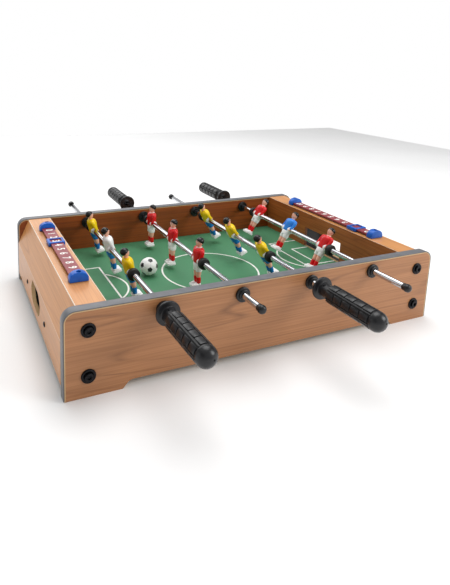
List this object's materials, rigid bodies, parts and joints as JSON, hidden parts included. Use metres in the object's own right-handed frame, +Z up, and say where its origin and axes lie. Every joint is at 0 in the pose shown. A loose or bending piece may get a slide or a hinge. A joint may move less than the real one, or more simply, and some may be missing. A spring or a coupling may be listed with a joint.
{
  "type": "tabletop foosball table",
  "caption": "Tabletop football table: wood-print box with sliding and spinning rods of moulded players, end goals with return holes, slide score counters and a ball.",
  "frame": {"origin": "floor level under the middle of the whole table, with the handles counted in its width", "axes": "+X along the table from the left goal to the right goal, +Y from the front to the back along the rods, +Z up"},
  "size_m": [0.51, 0.625, 0.1142],
  "materials": {
    "walnut_foil_mdf": "satin printed foil",
    "grey_band": "satin edge band",
    "beech_foil_mdf": "satin printed foil",
    "dark_foil_mdf": "satin printed foil",
    "green_field": "printed matt board",
    "black_plastic": "matt moulded",
    "chrome": "polished plate",
    "rubber": "matt",
    "blue_plastic": "glossy moulded",
    "maroon_plastic": "satin strip",
    "player_yellow": "glossy painted",
    "player_white": "glossy painted",
    "player_red": "glossy painted",
    "player_blue": "glossy painted",
    "ball_white": "smooth moulded"
  },
  "bodies": {
    "table": {"front_side_panel": "walnut_foil_mdf", "front_edge_band": "grey_band", "back_side_panel": "walnut_foil_mdf", "back_edge_band": "grey_band", "left_end_cover": "beech_foil_mdf", "left_goal_wall": "dark_foil_mdf", "left_goal_box": "black_plastic", "left_score_strip": "maroon_plastic", "left_score_bracket_front": "blue_plastic", "left_score_bracket_back": "blue_plastic", "right_end_cover": "beech_foil_mdf", "right_goal_wall": "dark_foil_mdf", "right_goal_box": "black_plastic", "right_score_strip": "maroon_plastic", "right_score_bracket_front": "blue_plastic", "right_score_bracket_back": "blue_plastic", "playfield_board": "green_field", "bushing_1_front": "black_plastic", "bushing_1_back": "black_plastic", "bushing_2_front": "black_plastic", "bushing_2_back": "black_plastic", "bushing_3_front": "black_plastic", "bushing_3_back": "black_plastic", "bushing_4_front": "black_plastic", "bushing_4_back": "black_plastic"},
    "left_counter": {"left_score_slider": "blue_plastic"},
    "right_counter": {"right_score_slider": "blue_plastic"},
    "ball": {"ball": "ball_white"},
    "rod_1_slider": {"bumper_1_front": "rubber", "bumper_1_back": "rubber"},
    "rod_1_spinner": {"rod_1": "chrome", "handle_1": "black_plastic", "end_cap_1": "rubber", "player_1_1": "player_yellow", "player_1_2": "player_white", "player_1_3": "player_yellow"},
    "rod_2_slider": {"bumper_2_front": "rubber", "bumper_2_back": "rubber"},
    "rod_2_spinner": {"rod_2": "chrome", "handle_2": "black_plastic", "end_cap_2": "rubber", "player_2_1": "player_red", "player_2_2": "player_red", "player_2_3": "player_red"},
    "rod_3_slider": {"bumper_3_front": "rubber", "bumper_3_back": "rubber"},
    "rod_3_spinner": {"rod_3": "chrome", "handle_3": "black_plastic", "end_cap_3": "rubber", "player_3_1": "player_yellow", "player_3_2": "player_yellow", "player_3_3": "player_yellow"},
    "rod_4_slider": {"bumper_4_front": "rubber", "bumper_4_back": "rubber"},
    "rod_4_spinner": {"rod_4": "chrome", "handle_4": "black_plastic", "end_cap_4": "rubber", "player_4_1": "player_red", "player_4_2": "player_blue", "player_4_3": "player_red"}
  },
  "joints": [
    {"name": "rod_1_slide", "type": "slide", "parent": "table", "child": "rod_1_slider", "axis": [0, 1, 0], "range_m": [-0.0768, 0.0053]},
    {"name": "rod_1_spin", "type": "hinge", "parent": "rod_1_slider", "child": "rod_1_spinner", "pos_m": [-0.147, 0.0035, 0.084], "axis": [0, 1, 0], "continuous": true},
    {"name": "rod_2_slide", "type": "slide", "parent": "table", "child": "rod_2_slider", "axis": [0, 1, 0], "range_m": [-0.0663, 0.0158]},
    {"name": "rod_2_spin", "type": "hinge", "parent": "rod_2_slider", "child": "rod_2_spinner", "pos_m": [-0.049, 0.0045, 0.084], "axis": [0, 1, 0], "continuous": true},
    {"name": "rod_3_slide", "type": "slide", "parent": "table", "child": "rod_3_slider", "axis": [0, 1, 0], "range_m": [-0.0688, 0.0133]},
    {"name": "rod_3_spin", "type": "hinge", "parent": "rod_3_slider", "child": "rod_3_spinner", "pos_m": [0.049, -0.0045, 0.084], "axis": [0, 1, 0], "continuous": true},
    {"name": "rod_4_slide", "type": "slide", "parent": "table", "child": "rod_4_slider", "axis": [0, 1, 0], "range_m": [-0.0493, 0.0328]},
    {"name": "rod_4_spin", "type": "hinge", "parent": "rod_4_slider", "child": "rod_4_spinner", "pos_m": [0.147, -0.0125, 0.084], "axis": [0, 1, 0], "continuous": true},
    {"name": "left_counter_slide", "type": "slide", "parent": "table", "child": "left_counter", "axis": [0, 1, 0], "range_m": [-0.1133, 0.0481]},
    {"name": "right_counter_slide", "type": "slide", "parent": "table", "child": "right_counter", "axis": [0, 1, 0], "range_m": [-0.0227, 0.1387]},
    {"name": "ball_roll", "type": "slide", "parent": "table", "child": "ball", "axis": [0, 1, 0], "range_m": [-0.1593, 0.1253]}
  ]
}
